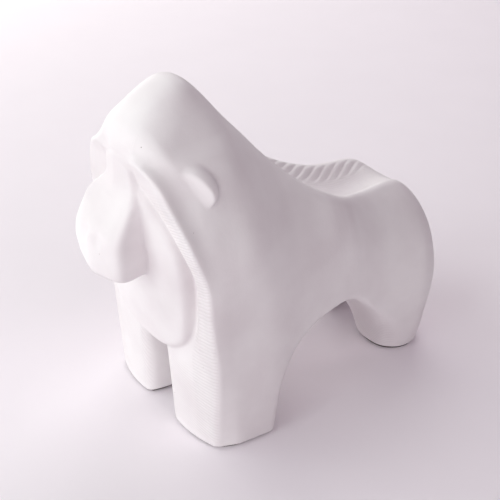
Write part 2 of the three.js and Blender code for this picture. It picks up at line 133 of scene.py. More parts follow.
@dataclass
class Trunk:
    """The casting's trunk, head, legs and rump, with the hollow along its back."""

    crest: float = 200.2  # height of the top of the head
    brow: float = 172.0  # height of the brow
    back: float = 108.0  # height of the edges of the back's hollow, over the rump
    belly: float = 57.0  # height of the space under the belly
    shoulder: float = 57.0  # half width at the shoulders
    waist: float = 50.0  # half width at the waist
    haunch: float = 51.0  # half width at the haunches
    toes: float = 49.0  # half width over the forefeet
    rump: float = 182.5  # distance from the toes back to the rump
    beard_half: float = 37.5
    hollow: float = 1.3  # depth of the hollow behind the edges of the head
    swell: float = 2.4  # how far the shoulder stands out at its middle
    gutter: float = 12.0  # depth of the hollow along the back
    front_gap: float = 7.5  # half width of the gap between the forelegs
    rear_gap: float = 8.5  # half width of the gap between the hind legs
    heel: float = 154.0  # distance from the toes back to the middle of a hind foot
    heel_out: float = 28.3  # distance from the middle plane to the middle of a hind foot
    heel_radius: float = 20.3
    foreleg_depth: float = 37.0
    foot_taper: float = 3.5  # how much narrower the hind feet are than the thighs
    band_deep: float = 0.9  # depth of the grooves in the back's hollow
    band_pitch: float = 10.3  # distance along the body from groove to groove
    band_slant: float = 2.2  # how far forward a groove runs for each millimetre inwards
    band_start: float = 92.5  # where the line of the first groove meets the middle plane
    flank_fillet: float = 24.0
    roof_fillet: float = 7.0
    forehead_fillet: float = 16.0
    forehead_trim: float = 1.3  # how far the forehead's slope is cut back from the crest
    rump_fillet: float = 24.0
    sole_edge: float = 1.2
    shank_fillet: float = 6.0
    arch_edge: float = 4.5
    rear_gap_fillet: float = 14.0

    def __post_init__(self) -> None:
        """Lay the curves along and up the body from the sizes."""
        crest, back, rump = self.crest, self.back, self.rump
        self.spine_height = Curve(
            (5, crest + 4.6), (9.4, crest + 4.4), (13.8, crest + 3), (19.4, crest - 0.8),
            (25, crest - 6.6), (36.6, crest - 21), (48.9, crest - 35.9), (62, back + 40.2),
            (78, back + 25.6), (94.7, back + 16), (112, back + 7.4), (131, back + 2.4),
            (146, back + 1.6), (158, back + 1.2), (rump - 14.5, back - 1.5),
            (rump - 5.5, back - 8), (rump + 7.5, back - 24),
        )
        self.ridge_half = Curve(
            (20, 6), (36, 7.5), (55, 14), (74, 27), (90, 34), (98, 34), (108, 29.4),
            (118, 24.4), (131, 20.4), (146, 18.2), (160, 17.2), (175, 14),
        )
        deep = self.gutter
        self.gutter_depth = Curve(
            (60, 0), (78, deep - 7), (95, deep - 2), (110, deep), (130, deep),
            (145, deep - 1), (158, deep - 5), (171, 0),
        )
        self.band_reach = Curve((86, 0), (104, 0.6), (116, 1), (150, 1), (166, 0))
        self.plan_half = Curve(
            (10, self.shoulder - 1), (32, self.shoulder + 0.2), (60, self.shoulder - 3),
            (95, self.waist + 0.2), (115, self.waist - 0.4), (140, self.haunch - 0.2),
            (155, self.haunch + 0.4), (175, self.haunch - 1), (200, self.haunch - 5),
        )
        self.flank_fall = Curve((15, 38), (45, 33), (80, 25), (110, 21))
        brow, toes = self.brow, self.toes
        self.edge_front = Curve(
            (0, -0.2), (20, -1), (60, -2.4), (95, -2.3), (105, -2.7), (112, -4), (120, -6.4),
            (brow - 44, -9), (brow - 36, -11.1), (brow - 28, -13.1), (brow - 20, -15),
            (brow - 12, -16.8), (brow - 4, -19.8), (brow + 4, -22), (brow + 28, -32),
        )
        self.edge_half = Curve(
            (0, toes + 0.2), (20, toes + 1.3), (40, toes + 2.8), (60, toes + 3.6),
            (83, toes + 3.6), (100, toes + 2.5), (115, toes + 1.5), (brow - 44, toes - 0.2),
            (brow - 36, 46.4), (brow - 28, 42.4), (brow - 20, 37.8), (brow - 12, 32.4),
            (brow - 6, 26.4), (brow - 3.5, 23), (brow + 3, 18.6), (brow + 13, 14.6),
            (brow + 30, 8),
        )
        self.cheek_half = Curve(
            (100, toes + 2.5), (115, toes + 1.7), (brow - 44, toes), (brow - 36, 46.4),
            (brow - 28, 42.8), (brow - 20, 38.4), (brow - 12, 33.6), (brow - 4, 28.6),
            (brow + 4, 23.4), (brow + 13, 18.2), (brow + 30, 10),
        )
        self.flare = Curve(
            (60, 0.25), (95, 0.23), (115, 0.13), (135, 0.1), (brow - 22, 0.14), (brow - 12, 0.22),
            (brow - 4, 0.22), (brow + 4, 0.08), (brow + 14, 0.04),
        )
        self.rump_back = Curve(
            (0, rump - 9.5), (20, rump - 6.7), (40, rump - 2.5), (56, rump),
            (back - 33, rump - 0.3), (back - 18, rump - 3), (back - 5, rump - 9),
            (back + 12, rump - 26.5),
        )
        wide = self.beard_half
        self.beard_edge = Curve(
            (60, wide - 1), (74, wide), (90, wide), (110, wide), (120, wide - 0.8),
            (128, wide - 3), (136, wide - 7), (144, wide - 12.5), (150, wide - 18),
            (156, wide - 25),
        )
        self.beard_proud = Curve(
            (60, -5.4), (80, -5.6), (100, -5), (112, -4), (122, -3), (134, -2), (148, -1.2),
            (158, 0.5),
        )
        self.groove_deep = Curve((60, 2.5), (105, 2.5), (120, 1.8), (140, 1), (156, 0.3))
        self.strip_half = Curve(
            (60, 42), (80, 42.7), (104, 42.7), (114, 41), (122, 38.6), (132, 35.6), (139, 32.4),
            (146, 28), (153, 22), (160, 14),
        )

    def half_width(self, y: Array, z: Array) -> Array:
        """Return the half width of the trunk and the head at a place and a height."""
        # Away from the head the flank falls from the back's ridge, ever more steeply.
        ridge = self.ridge_half(y)
        drop = self.spine_height(y) - z
        foot = self.foot_taper * ease(50, 110, y) * np.clip((45 - z) / 45, 0, 1)
        fall = 1.04 * (1 - np.exp(-np.maximum(drop, -8) / self.flank_fall(y)))
        rear = ridge + (self.plan_half(y) - foot - ridge) * fall
        # Near the front the cheeks widen backwards from the head's edges, past a hollow.
        behind = np.maximum(y - self.edge_front(z), -6)
        away = (behind / 9) ** 2
        hollow = self.hollow * ease(100, 135, z) * ease(self.brow + 4, self.brow - 6, z)
        front = between(self.edge_half(z), self.cheek_half(z), ease(1, 15, behind))
        front = front + self.flare(z) * behind - hollow * away * np.exp(1 - away)
        swell = self.swell * np.exp(-(((y - 24) / 13) ** 2) - ((z - self.brow + 50) / 22) ** 2)
        return smooth_min(front, rear, between(2.0, 8.0, ease(2, 30, behind))) + swell

    def front_face(self, across: Array, z: Array) -> Array:
        """Return how far back the front of the forelegs and of the chest lies."""
        leg = self.edge_front(z) - 3.4 + 0.0075 * (across - 24) ** 2
        groove, strip = self.beard_edge(z), self.strip_half(z)
        rise = ease(0, 1, (across - groove) / np.maximum(strip - groove, 1))
        chest = self.edge_front(z) + self.groove_deep(z) * (1 - rise)
        return between(leg, chest, ease(52, 92, z))

    def bands(self, across: Array, y: Array, in_ridge: Array) -> Array:
        """Return how deep the slanting grooves lie on the inner slopes of the back's hollow."""
        count = (y - self.band_slant * across - self.band_start) / self.band_pitch
        wave = (0.5 + 0.5 * np.cos(2 * math.pi * count)) ** 1.5
        span = ease(0.42, 0.68, in_ridge) * ease(1.04, 0.9, in_ridge)
        return self.band_deep * self.band_reach(y) * wave * span

    def arch(self, y: Array, z: Array) -> Array:
        """Return the field of the space under the belly."""
        foreleg = self.foreleg_depth + 0.16 * z - y
        under = z - self.belly - 0.09 * (y - 60)
        thigh = 0.845 * (y - self.heel + 46) + 0.534 * (z - self.belly + 3.4)
        hind_foot = y - (self.heel - self.heel_radius - 0.2)
        space = smooth_max(smooth_max(foreleg, under, 34), thigh, 14)
        return smooth_max(space, hind_foot, 10)

    def field(self, x: Array, y: Array, z: Array) -> Array:
        """Return the casting's field, with the gaps between its legs."""
        # The flanks and the roof.
        across = np.abs(x)
        half = self.half_width(y, z)
        flank = 0.8 * smooth_max(x - half, -x - half, self.flank_fillet)
        in_ridge = np.clip(across / self.ridge_half(y), 0, 1.3)
        sunk = self.gutter_depth(y) * (1 - in_ridge**2) + self.bands(across, y, in_ridge)
        roof = 0.66 * (z - self.spine_height(y) + sunk)
        shape = smooth_max(flank, roof, self.roof_fillet)
        # The forehead, the front, the rump and the soles.
        forehead = (z - self.crest + self.forehead_trim - y) * math.sqrt(0.5)
        shape = smooth_max(shape, forehead, self.forehead_fillet)
        turn = between(2.4, 9.0, ease(self.brow - 5, self.brow + 2, z))
        shape = smooth_max(shape, 0.9 * (self.front_face(across, z) - y), turn)
        shape = smooth_max(shape, 0.95 * (y - self.rump_back(z)), self.rump_fillet)
        shape = smooth_max(shape, SOLE - z, self.sole_edge)
        # The hind legs, round at the foot and wider upwards.
        leg = np.hypot(across - self.heel_out, y - self.heel)
        leg = leg - (self.heel_radius + 0.36 * z + (np.maximum(z, 0) / 26) ** 4)
        shape = smooth_max(shape, np.where(y > 100, leg, -50.0), self.shank_fillet)
        # The spaces under the belly, between the forelegs and between the hind legs.
        shape = smooth_max(shape, -self.arch(y, z), self.arch_edge)
        narrowing = 1 - 0.16 * np.clip(z / 55, 0, 1)
        gap = (self.front_gap + 5.3 * np.exp(-np.maximum(y + 4, 0) / 10)) * narrowing
        front = smooth_max(smooth_max(across - gap, y - 60, 3), z - self.belly - 3, 16)
        shape = smooth_max(shape, -front, self.arch_edge)
        rear = smooth_max(across - self.rear_gap, 110 - y, 3)
        rear = smooth_max(rear, z - self.belly + 13, 14)
        return smooth_max(shape, -rear, self.rear_gap_fillet)


@dataclass
class Beard:
    """The pressing that hangs from the cheeks down over the chest."""

    trunk: Trunk
    end: float = 53.5  # height of its lower end
    tall: float = 28.0  # height of its rounded lower end

    def __post_init__(self) -> None:
        """Lay the curve of its front."""
        self.bulge = Curve(
            (55, 0.6), (70, 2.4), (85, 4.8), (96, 7), (104, 8.8), (112, 9.6), (122, 9), (134, 8),
            (141, 8.8), (146, 8.4), (151, 4.5), (158, 0.5),
        )

    def field(self, x: Array, y: Array, z: Array) -> Array:
        """Return the beard's field."""
        across = np.abs(x)
        half = self.trunk.beard_edge(z)
        rim = self.trunk.edge_front(z) + self.trunk.beard_proud(z)
        front = rim - self.bulge(z) * (1 - np.clip(across / half, 0, 1.2) ** 2.5)
        shape = smooth_max(0.95 * (front - y), 0.93 * (across - half), 3)
        tall = self.tall
        below = np.clip(self.end + tall - z, 0, 2 * tall) / tall
        wide = across / (self.trunk.beard_half + 0.5)
        bottom = (wide**2.1 + below**2.1) ** (1 / 2.1)
        shape = smooth_max(shape, (bottom - 1) * (tall - 1), 4)
        shape = smooth_max(shape, y - 12, 3)
        return smooth_max(shape, 0.8 * (z - 157), 3)


@dataclass
class Face:
    """The pressing of the face and the muzzle, with a crisp rim round its top."""

    brow: float = 172.0  # height of the brow
    chin: float = 104.0  # height of the chin
    muzzle: float = 38.8  # how far the muzzle stands out before the toes
    muzzle_half: float = 24.2
    face_half: float = 11.8

    def __post_init__(self) -> None:
        """Lay the curves of its width, its rim and its middle line."""
        chin, brow, reach = self.chin, self.brow, self.muzzle
        wide, top = self.muzzle_half, self.face_half
        self.half = Curve(
            (chin - 1, wide - 3.2), (chin + 8, wide - 1.4), (chin + 16, wide - 0.4),
            (chin + 23, wide - 1.2), (chin + 29, wide - 1.8), (chin + 34, wide - 2.8),
            (chin + 39, wide - 3.9), (chin + 42, 19), (chin + 45, 16.6), (chin + 48, top + 2.4),
            (chin + 54, top + 0.4), (brow - 10, top), (brow + 3, top),
        )
        self.rim = Curve(
            (chin - 1, 6.8 - reach), (chin + 9, 4.9 - reach), (chin + 16, 4.2 - reach),
            (chin + 23, 4.6 - reach), (chin + 29, 6.6 - reach), (chin + 34, 9 - reach),
            (chin + 39.2, -26.8), (chin + 42.4, -24), (chin + 45, -21.4), (chin + 48, -19.4),
            (chin + 52, -18.7), (brow - 8, -19), (brow, -20.5),
        )
        self.keel = Curve(
            (chin - 4, 0.8 - reach), (chin + 4, -reach), (chin + 15, -reach),
            (chin + 21, 0.2 - reach), (chin + 26, 1.4 - reach), (chin + 30, -34.6),
            (chin + 34, -31), (chin + 38, -27.6), (chin + 43, -24), (chin + 48, -22),
            (chin + 54, -21.2), (brow - 8, -21), (brow, -21.5),
        )

    def field(self, x: Array, y: Array, z: Array) -> Array:
        """Return the face's field, without its dimples."""
        across = np.abs(x)
        half = self.half(z)
        turn = np.clip(across / half, 0, 1.5) ** 1.2
        front = between(self.keel(z), self.rim(z), turn)
        side = across - half + 0.27 * ease(148, 128, z) * (y - self.rim(z))
        shape = smooth_max(0.9 * (front - y), 0.95 * side, between(2.5, 6.0, ease(150, 128, z)))
        chin = self.chin + 0.7 + 0.002 * across**2 - 0.08 * (y + 34) - z
        shape = smooth_max(shape, 0.95 * chin, 6)
        lobes = z - self.brow + 4.2 + 0.03 * across**2
        shape = smooth_max(shape, 0.9 * lobes, 2.5)
        return smooth_max(shape, y + 2, 3)

    def dimples(self, x: Array, y: Array, z: Array) -> Array:
        """Return the field of the two hollows over the eyes and of the two nostrils."""
        across, deep = (np.abs(x) - 10) / 1.8, (y + 21.5) / 1.2
        eyes = np.sqrt(across**2 + deep**2 + ((z - self.brow + 1.8) / 0.9) ** 2) - 2.2
        across, high = (np.abs(x) - 6) / 1.1, (z - self.chin - 24.5) / 1.7
        nose = np.sqrt(across**2 + (y + self.muzzle - 0.6) ** 2 + high**2) - 2.2
        return np.minimum(eyes, nose)


@dataclass
class Ears:
    """The raised lugs on the sides of the head: domes, each with a flat sloping front."""

    trunk: Trunk
    back: float = 4.2  # distance from the toes back to its middle
    height: float = 157.8  # height of its middle
    lean: float = 27.0  # degrees that its top leans forwards
    half_tall: float = 9.2
    half_deep: float = 7.2
    proud: float = 4.8  # how far the dome stands out
    flat: float = 2.4  # distance from the dome's middle to the flat
    edge: float = 0.8  # fillet between the dome and the flat

    def field(self, x: Array, y: Array, z: Array) -> Array:
        """Return the field of both ears."""
        turn = math.radians(self.lean)
        rise, deep = z - self.height, y - self.back
        off = np.abs(x) - self.trunk.half_width(y, z)
        along = deep * math.sin(turn) - rise * math.cos(turn)
        across = deep * math.cos(turn) + rise * math.sin(turn)
        round_out = (along / self.half_tall) ** 2 + (across / self.half_deep) ** 2
        dome = (np.sqrt(round_out + (off / self.proud) ** 2) - 1) * self.proud
        slope = (off - across) * math.sqrt(0.5) - self.flat
        return smooth_max(dome, slope, self.edge)


@dataclass
class Flutes:
    """The fine flutes combed into the clay: where they lie, which way they run, how deep."""

    trunk: Trunk
    pitch: float = 1.8  # height from flute to flute
    foot_steep: float = 0.5  # how steeply they fall to the left at the left forefoot
    chest_steep: float = -0.3  # the same beside the beard, where they rise a little
    right_steep: float = 1.8  # the same on the right side
    mask_pitch: float = 1.2  # width from flute to flute on the top of the face
    mask_deep: float = 0.2
    leg_deep: float = 0.6
    back_deep: float = 0.5
    back_count: float = 13.0  # flutes from the middle of the back's hollow to its edge

    def front(self, x: Array, z: Array, ahead: Array) -> tuple[Array, Array]:
        """Return the flutes of the forelegs and beside the beard, which aren't mirror images.

        Args:
            x: Distances from the middle plane.
            z: Heights.
            ahead: How much each surface faces forwards, from -1 to 1.

        Returns:
            The count of flutes up to each point, and their depth as a share of the full one.
        """
        # Each flute is named by its height where x is 24, found by going round a few times.
        line = z
        for _ in range(5):
            steep = between(self.foot_steep, self.chest_steep, np.clip((line - 5) / 90, 0, 1))
            line = z + steep * (x - 24)
        count = np.where(x > 0, line, 0.5 * (z + self.right_steep * (x + 24))) / self.pitch
        beside = ease(0.2, 1.4, np.abs(x) - self.trunk.beard_edge(z)) * ease(160, 142, z)
        low = self.leg_deep * ease(56, 48, z)
        deep = np.maximum(beside, low) * ease(0.45, 0.75, ahead)
        return count, deep * ease(4, 9, z)

    def lines(self, p: Array, normal: Array) -> tuple[Array, Array]:
        """Return where the flutes of the whole figurine lie, and how deep they are.

        Args:
            p: Points in millimetres, one per row.
            normal: The outward direction at each point.

        Returns:
            The count of flutes up to each point, and their depth as a share of the full one.
        """
        x, y, z = p.T
        across, ahead = np.abs(x), -normal[:, 1]
        count, deep = self.front(x, z, ahead)
        deep = deep * (np.abs(y - self.trunk.edge_front(z)) < np.where(z > 60, 3.2, 7))
        mask = (across < 15) & (z > 146) & (y < 0)
        count = np.where(mask, x / self.mask_pitch, count)
        mask_deep = self.mask_deep * ease(0.5, 0.8, ahead) * ease(148, 153, z)
        deep = np.where(mask, mask_deep, deep)
        rear = y > 60
        count = np.where(rear, (z + 0.1 * across) / self.pitch, count)
        hind = ease(0.3, 0.6, ahead) * ease(62, 50, z) * ease(4, 9, z)
        deep = np.where(rear, hind, deep)
        share = x / self.trunk.ridge_half(y)
        hollow = rear & (z > 85)
        count = np.where(hollow, share * self.back_count, count)
        floor = ease(0.75, 0.5, np.abs(share)) * ease(86, 104, y) * ease(176, 166, y)
        deep = np.where(hollow, self.back_deep * floor * ease(0.5, 0.8, normal[:, 2]), deep)
        return count, deep


class Form(Enum):
    """The pieces that the ceramic is made of, each with the CAD node that it stands for."""

    TRUNK = "body_shell"
    BEARD = "beard_panel"
    FACE = "face_mask"
    EAR_LEFT = "ear_left"
    EAR_RIGHT = "ear_right"


@dataclass
class Sculpt:
    """The whole ceramic form: its pieces joined by the fillets of the slip between them."""

    trunk: Trunk = field(default_factory=Trunk)
    face: Face = field(default_factory=Face)
    seam: float = 1.5  # fillet of slip where two pieces meet
    dimple_edge: float = 3.5  # fillet round the hollows over the eyes and the nostrils
    step: float = 0.04  # distance to each side at which a slope is measured

    def __post_init__(self) -> None:
        """Make the forms that take their sizes from the trunk."""
        self.beard = Beard(self.trunk)
        self.ears = Ears(self.trunk)
        self.flutes = Flutes(self.trunk)

    def field(self, x: Array, y: Array, z: Array) -> Array:
        """Return the field of the joined form."""
        shape = smooth_min(self.trunk.field(x, y, z), self.beard.field(x, y, z), self.seam)
        shape = smooth_min(shape, self.face.field(x, y, z), self.seam)
        shape = smooth_min(shape, self.ears.field(x, y, z), self.seam)
        return smooth_max(shape, -self.face.dimples(x, y, z), self.dimple_edge)

    def owner(self, p: Array) -> Array:
        """Return the index in Form of the piece that each point belongs to."""
        x, y, z = p.T
        ears = self.ears.field(x, y, z)
        return np.argmin([
            self.trunk.field(x, y, z), self.beard.field(x, y, z), self.face.field(x, y, z),
            np.where(x > 0, ears, 99.0), np.where(x < 0, ears, 99.0),
        ], axis=0)

    def slope(self, p: Array) -> Array:
        """Return the field's slope at each point."""
        sides = np.eye(3) * self.step
        ahead = [self.field(*(p + side).T) for side in sides]
        behind = [self.field(*(p - side).T) for side in sides]
        return (np.array(ahead) - np.array(behind)).T / (2 * self.step)

    def settle(self, p: Array, rounds: int, reach: float = 1.0) -> Array:
        """Return the points moved along the field's slope onto its surface.

        Args:
            p: Points in millimetres, one per row.
            rounds: How many steps each point takes.
            reach: The longest step in millimetres.

        Returns:
            The moved points.
        """
        for _ in range(rounds):
            slope = self.slope(p)
            steep = np.maximum((slope**2).sum(axis=1), 0.05)
            step = np.clip(-self.field(*p.T) / steep, -reach, reach)
            p = p + slope * step[:, None]
        return p


def to_sculpt(co: Array) -> Array:
    """Return points of the frame, in metres, in the sculpt's millimetres."""
    return co / MM + np.array([0.0, MIDDLE, 0.0])


def to_frame(p: Array) -> Array:
    """Return points of the sculpt, in millimetres, in the frame's metres."""
    return (p - np.array([0.0, MIDDLE, 0.0])) * MM


# Mesh work.


def places(mesh: bmesh.types.BMesh) -> Array:
    """Return the vertices of a mesh in the sculpt's millimetres."""
    return to_sculpt(np.array([v.co for v in mesh.verts], float).reshape(-1, 3))


def put(mesh: bmesh.types.BMesh, p: Array) -> None:
    """Move the vertices of a mesh to points in the sculpt's millimetres."""
    for vert, co in zip(mesh.verts, to_frame(p), strict=True):
        vert.co = co


def new_object(name: str, mesh: bmesh.types.BMesh) -> bpy.types.Object:
    """Return a linked object with the mesh in it, and free the mesh."""
    data = bpy.data.meshes.new(name)
    mesh.to_mesh(data)
    mesh.free()
    piece = bpy.data.objects.new(name, data)
    bpy.context.scene.collection.objects.link(piece)
    return piece


@dataclass
class Casting:
    """The ceramic, made as one fine skin and then parted into the pieces that it is of."""

    sculpt: Sculpt
    grain: float = 1.3  # size of a cell of the first grid
    fine: float = 0.9  # an edge under this length isn't split
    sharp: float = 11.0  # degrees, an edge that turns less isn't split
    reach: tuple[float, float, float, float] = (64.0, -46.0, 190.0, 204.0)
    vent_radius: float = 6.0
    vent_back: float = 88.0  # distance from the toes back to the vent's axis
    vent_tall: float = 24.0  # height of the vent's wall
    vent_under: float = 15.0  # the vent's rim lies less than this above the belly
    vent_loose: float = 2.0  # how far outside its radius the cut rim may lie
    lip: float = 1.5  # how far a piece's rim is turned inwards
    on_skin: float = 0.2  # a point nearer to the sculpt's surface than this is on it

    def skin(self) -> bmesh.types.BMesh:
        """Return the fine skin, settled on the sculpt."""
        verts, quads = self._net()
        data = bpy.data.meshes.new("skin")
        data.from_pydata(to_frame(self.sculpt.settle(verts, 3)), [], quads)
        work = bmesh.new()
        work.from_mesh(data)
        bpy.data.meshes.remove(data)
        self._even(work, rounds=4)
        bmesh.ops.triangulate(work, faces=work.faces)
        self._refine(work)
        self._even(work, rounds=2)
        put(work, self.sculpt.settle(places(work), 4))
        return work

    def _net(self) -> tuple[Array, Array]:
        """Return a net of quads along the cells of a grid that the surface passes through."""
        half = np.arange(0.5, self.reach[0] / self.grain) * self.grain
        along = np.arange(self.reach[1], self.reach[2], self.grain)
        up = np.arange(SOLE - 2.2 * self.grain, self.reach[3], self.grain)
        values = self.sculpt.field(*np.meshgrid(half, along, up, indexing="ij"))
        values = np.concatenate([values[::-1], values])
        across = np.concatenate([-half[::-1], half])
        inside = values < 0
        for _ in range(3):
            self._untangle(values, inside)
        corner = [inside[i : i - 1 or None, j : j - 1 or None, k : k - 1 or None]
                  for i in (0, 1) for j in (0, 1) for k in (0, 1)]
        count = np.sum(corner, axis=0)
        cells = np.nonzero((count > 0) & (count < 8))
        index = np.full(count.shape, -1)
        index[cells] = np.arange(len(cells[0]))
        verts = np.stack([
            axis[place] + self.grain / 2
            for axis, place in zip((across, along, up), cells, strict=True)
        ], axis=1)
        quads = []
        for axis in range(3):
            low = np.take(inside, range(inside.shape[axis] - 1), axis)
            high = np.take(inside, range(1, inside.shape[axis]), axis)
            edge = np.array(np.nonzero(low != high))
            u, v = np.eye(3, dtype=int)[[(axis + 1) % 3, (axis + 2) % 3]]
            ring = [edge - u[:, None] - v[:, None], edge - v[:, None], edge, edge - u[:, None]]
            quad = np.stack([index[tuple(cell)] for cell in ring], axis=1)
            out = low[tuple(edge)]
            quads.append(np.where(out[:, None], quad, quad[:, ::-1]))
        return verts, np.concatenate(quads)

    @staticmethod
    def _untangle(values: Array, inside: Array) -> None:
        """Change the nearest corner of each grid face that the surface would cross twice."""
        for axis in range(3):
            u, v = np.eye(3, dtype=int)[[(axis + 1) % 3, (axis + 2) % 3]]
            span = [slice(None)] * 3
            span[(axis + 1) % 3] = span[(axis + 2) % 3] = slice(0, -1)
            base = inside[tuple(span)]
            ring = [np.roll(inside, tuple(-step), (0, 1, 2))[tuple(span)] for step in (u, u + v, v)]
            twice = (base == ring[1]) & (ring[0] == ring[2]) & (base != ring[0])
            for place in np.argwhere(twice):
                corners = [tuple(place + step) for step in (0 * u, u, u + v, v)]
                least = min(corners, key=lambda at: abs(values[at]))
                inside[least] = not inside[least]

    def _even(self, work: bmesh.types.BMesh, rounds: int) -> None:
        """Even out the vertices and keep them on the sculpt."""
        p = places(work)
        work.verts.index_update()
        ends = np.array([(e.verts[0].index, e.verts[1].index) for e in work.edges])
        both = np.concatenate([ends, ends[:, ::-1]])
        count = np.bincount(both[:, 0], minlength=len(p))
        for _ in range(rounds):
            total = np.stack([
                np.bincount(both[:, 0], weights=p[both[:, 1], axis], minlength=len(p))
                for axis in range(3)
            ], axis=1)
            p = between(p, total / count[:, None], 0.5)
            p = self.sculpt.settle(p, 2)
        put(work, p)

    def _refine(self, work: bmesh.types.BMesh) -> None:
        """Split the edges that turn sharply, where a fillet or the relief needs more faces."""
        p = places(work)
        slope = self.sculpt.slope(p)
        normal = slope / np.linalg.norm(slope, axis=1)[:, None]
        work.edges.index_update()
        work.verts.index_update()
        ends = np.array([(e.verts[0].index, e.verts[1].index) for e in work.edges])
        turn = (normal[ends[:, 0]] * normal[ends[:, 1]]).sum(axis=1)
        length = np.linalg.norm(p[ends[:, 0]] - p[ends[:, 1]], axis=1)
        chosen = (turn < math.cos(math.radians(self.sharp))) & (length > self.fine)
        edges = [e for e, c in zip(work.edges, chosen, strict=True) if c]
        bmesh.ops.subdivide_edges(work, edges=edges, cuts=1)
        bmesh.ops.triangulate(work, faces=work.faces)

    def pieces(self) -> dict[Form, bpy.types.Object]:
        """Return the finished piece of each form, closed behind and set in its place."""
        whole = self.skin()
        whole.faces.ensure_lookup_table()
        middles = to_sculpt(np.array([f.calc_center_median() for f in whole.faces], float))
        owner = self.sculpt.owner(middles)
        made = {}
        for index, form in enumerate(Form):
            part = whole.copy()
            others = [f for f, o in zip(part.faces, owner, strict=True) if o != index]
            bmesh.ops.delete(part, geom=others, context="FACES")
            if form is Form.TRUNK:
                self._vent(part)
            self._close(part)
            made[form] = self._finish(form, part)
        whole.free()
        return made

    def _vent(self, part: bmesh.types.BMesh) -> None:
        """Open the vent under the belly and run its wall up into the casting."""
        p = places(part)
        out = np.hypot(p[:, 0], p[:, 1] - self.vent_back)
        top = self.sculpt.trunk.belly + self.vent_under
        within = (p[:, 2] < top) & (out < self.vent_radius)
        inside = [v for v, w in zip(part.verts, within, strict=True) if w]
        bmesh.ops.delete(part, geom=inside, context="VERTS")
        wide = self.vent_radius + self.vent_loose
        rim = [
            e for e in part.edges
            if e.is_boundary and math.hypot(*self._from_vent(e.verts[0])) < wide
            and e.verts[0].co.z < top * MM
        ]
        for vert in {v for e in rim for v in e.verts}:
            across, along = self._from_vent(vert)
            scale = self.vent_radius / math.hypot(across, along)
            vert.co.x = across * scale * MM
            vert.co.y = (along * scale + self.vent_back - MIDDLE) * MM
        wall = bmesh.ops.extrude_edge_only(part, edges=rim)["geom"]
        risen = [g for g in wall if isinstance(g, bmesh.types.BMVert)]
        bmesh.ops.translate(part, verts=risen, vec=Vector((0, 0, self.vent_tall * MM)))
        lid = [g for g in wall if isinstance(g, bmesh.types.BMEdge) and g.is_boundary]
        bmesh.ops.edgeloop_fill(part, edges=lid)

    def _from_vent(self, vert: bmesh.types.BMVert) -> tuple[float, float]:
        """Return how far a vertex lies across and along from the vent's axis."""
        return vert.co.x / MM, vert.co.y / MM + MIDDLE - self.vent_back

    def _close(self, part: bmesh.types.BMesh) -> None:
        """Turn the open rim of a piece inwards and fill in its back."""
        rim = [e for e in part.edges if e.is_boundary]
        slopes = self.sculpt.slope(places(part))
        part.verts.index_update()
        ring = {v: v.index for e in rim for v in e.verts}
        inward = {i: -slopes[i] / np.linalg.norm(slopes[i]) for i in ring.values()}
        made = bmesh.ops.extrude_edge_only(part, edges=rim)["geom"]
        fresh = [g for g in made if isinstance(g, bmesh.types.BMVert)]
        for vert in fresh:
            near = min((e.other_vert(vert) for e in vert.link_edges if e.other_vert(vert) in ring),
                       key=lambda v: (v.co - vert.co).length)
            vert.co += Vector(inward[ring[near]] * self.lip * MM)
        back = [g for g in made if isinstance(g, bmesh.types.BMEdge) and g.is_boundary]
        bmesh.ops.holes_fill(part, edges=back)
        bmesh.ops.triangulate(part, faces=part.faces)

    def _finish(self, form: Form, part: bmesh.types.BMesh) -> bpy.types.Object:
        """Return the piece as an object with smooth shading from the sculpt's own slopes."""
        p = places(part)
        slope = self.sculpt.slope(p)
        on_skin = np.abs(self.sculpt.field(*p.T)) < self.on_skin
        piece = new_object(form.value.replace("_", "-") + "-ceramic", part)
        normals = slope / np.maximum(np.linalg.norm(slope, axis=1), 1e-6)[:, None]
        normals[~on_skin] = 0.0
        piece.data.shade_smooth()
        piece.data.normals_split_custom_set_from_vertices(normals)
        for name, values in zip((COUNT, DEEP), self.sculpt.flutes.lines(p, normals), strict=True):
            layer = piece.data.attributes.new(name, "FLOAT", "POINT")
            layer.data.foreach_set("value", values.astype(np.float32))
        return piece


# Colours and materials.


def linear(code: str) -> tuple[float, float, float, float]:
    """Return an sRGB hex colour as the linear colour that Blender works in."""
    parts = [int(code[i : i + 2], 16) / 255 for i in (0, 2, 4)]
    return (*(c / 12.92 if c <= 0.04045 else ((c + 0.055) / 1.055) ** 2.4 for c in parts), 1.0)


Feed = float | tuple[float, ...] | bpy.types.NodeSocket

# Numbers of the inputs of Map Range, and of the inputs and the output of a Mix of colours,
# because those nodes have more than one socket of each name.
VALUE, FROM_LOW, FROM_HIGH, TO_LOW, TO_HIGH = range(5)
SHARE, FIRST, SECOND = 0, 6, 7
MIXED = 2


def add_node(
    tree: bpy.types.NodeTree,
    kind: str,
    feeds: dict[str | int, Feed] | None = None,
    **settings: object,
) -> bpy.types.Node:
    """Add a node with its settings, and set or link its inputs.

    Args:
        tree: The node tree that the node goes into.
        kind: Blender's name for the kind of node, without the word ShaderNode.
        feeds: For each input, by name or number, its value or the output that feeds it.
        **settings: The node's own properties.

    Returns:
        The new node.
    """
    made = tree.nodes.new("ShaderNode" + kind)
    for name, value in settings.items():
        setattr(made, name, value)
    for name, value in (feeds or {}).items():
        if isinstance(value, bpy.types.NodeSocket):
            tree.links.new(value, made.inputs[name])
        else:
            made.inputs[name].default_value = value
    return made


@dataclass(frozen=True)
class Cells:
    """A noise pattern: its cell's size in millimetres and how many finer layers it has."""

    size: float
    detail: float = 2.0

    @property
    def feeds(self) -> dict[str | int, Feed]:
        """The values that a Noise Texture takes for it, in cells per metre."""
        return {"Scale": 1.0 / (self.size * MM), "Detail": self.detail}


